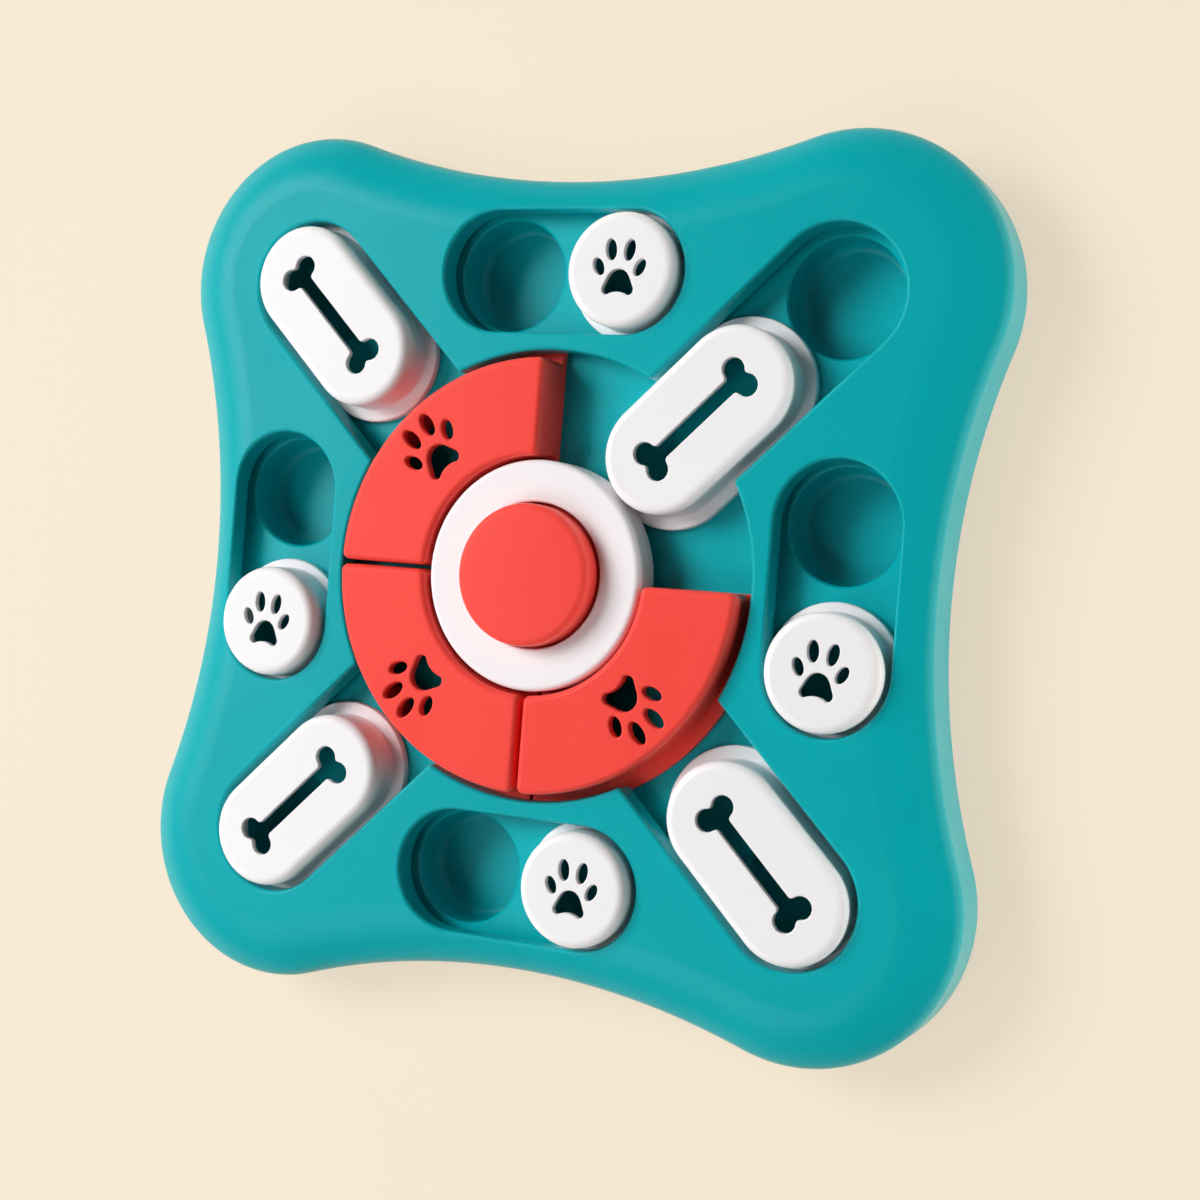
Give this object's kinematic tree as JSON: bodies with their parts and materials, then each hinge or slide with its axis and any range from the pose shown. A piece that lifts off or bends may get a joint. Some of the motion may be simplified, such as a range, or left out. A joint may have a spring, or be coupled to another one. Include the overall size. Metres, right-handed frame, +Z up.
{
  "type": "pet puzzle feeder board",
  "caption": "Flat four-lobed treat puzzle board: round sliders, long sliders and ring sectors slide in lipped tracks over pockets, round a press button.",
  "frame": {"origin": "middle of the board, on the surface that its feet stand on", "axes": "+Z up out of the board's face, +Y away from the user, +X to the right, with the open quarter of the ring towards +X and +Y"},
  "size_m": [0.2502, 0.2502, 0.0385],
  "materials": {
    "teal_plastic": "satin moulded plastic with a fine texture",
    "white_plastic": "satin moulded plastic",
    "red_plastic": "satin moulded plastic",
    "black_rubber": "matte rubber",
    "screw_steel": "zinc-plated steel"
  },
  "bodies": {
    "board": {"top_cover": "teal_plastic", "base_tray": "teal_plastic", "hub_collar": "white_plastic", "squeaker_bellows": "black_rubber", "squeaker_reed": "white_plastic", "rubber_feet": "black_rubber", "cover_screws": "screw_steel", "collar_screws": "screw_steel"},
    "button": {"centre_button": "red_plastic"},
    "paw_right": {"paw_slider_right": "white_plastic"},
    "paw_top": {"paw_slider_top": "white_plastic"},
    "paw_left": {"paw_slider_left": "white_plastic"},
    "paw_bottom": {"paw_slider_bottom": "white_plastic"},
    "bone_top_right": {"bone_slider_top_right": "white_plastic"},
    "bone_top_left": {"bone_slider_top_left": "white_plastic"},
    "bone_bottom_left": {"bone_slider_bottom_left": "white_plastic"},
    "bone_bottom_right": {"bone_slider_bottom_right": "white_plastic"},
    "sector_top_left": {"ring_sector_top_left": "red_plastic"},
    "sector_bottom_left": {"ring_sector_bottom_left": "red_plastic"},
    "sector_bottom_right": {"ring_sector_bottom_right": "red_plastic"}
  },
  "joints": [
    {"name": "paw_right_slide", "type": "slide", "parent": "board", "child": "paw_right", "axis": [0, 1, 0], "range_m": [0, 0.0388]},
    {"name": "paw_top_slide", "type": "slide", "parent": "board", "child": "paw_top", "axis": [-1, 0, 0], "range_m": [0, 0.0388]},
    {"name": "paw_left_slide", "type": "slide", "parent": "board", "child": "paw_left", "axis": [0, 1, 0], "range_m": [0, 0.0388]},
    {"name": "paw_bottom_slide", "type": "slide", "parent": "board", "child": "paw_bottom", "axis": [-1, 0, 0], "range_m": [0, 0.0388]},
    {"name": "bone_top_right_slide", "type": "slide", "parent": "board", "child": "bone_top_right", "axis": [0.7071, 0.7071, 0], "range_m": [0, 0.0369]},
    {"name": "bone_top_left_slide", "type": "slide", "parent": "board", "child": "bone_top_left", "axis": [0.7071, -0.7071, 0], "range_m": [0, 0.0021]},
    {"name": "bone_bottom_left_slide", "type": "slide", "parent": "board", "child": "bone_bottom_left", "axis": [0.7071, 0.7071, 0], "range_m": [0, 0.0021]},
    {"name": "bone_bottom_right_slide", "type": "slide", "parent": "board", "child": "bone_bottom_right", "axis": [-0.7071, 0.7071, 0], "range_m": [0, 0.0021]},
    {"name": "sector_top_left_turn", "type": "hinge", "parent": "board", "child": "sector_top_left", "pos_m": [0, 0, 0.0175], "axis": [0, 0, 1], "range_deg": [-20, 20]},
    {"name": "sector_bottom_left_turn", "type": "hinge", "parent": "sector_top_left", "child": "sector_bottom_left", "pos_m": [0, 0, 0.0175], "axis": [0, 0, 1], "range_deg": [0, 20]},
    {"name": "sector_bottom_right_turn", "type": "hinge", "parent": "sector_bottom_left", "child": "sector_bottom_right", "pos_m": [0, 0, 0.0175], "axis": [0, 0, 1], "range_deg": [0, 20]},
    {"name": "button_press", "type": "slide", "parent": "board", "child": "button", "axis": [0, 0, -1], "range_m": [0, 0.004], "stiffness_N_per_m": 300, "springref_m": -0.002, "deforming": ["squeaker_bellows"]}
  ]
}
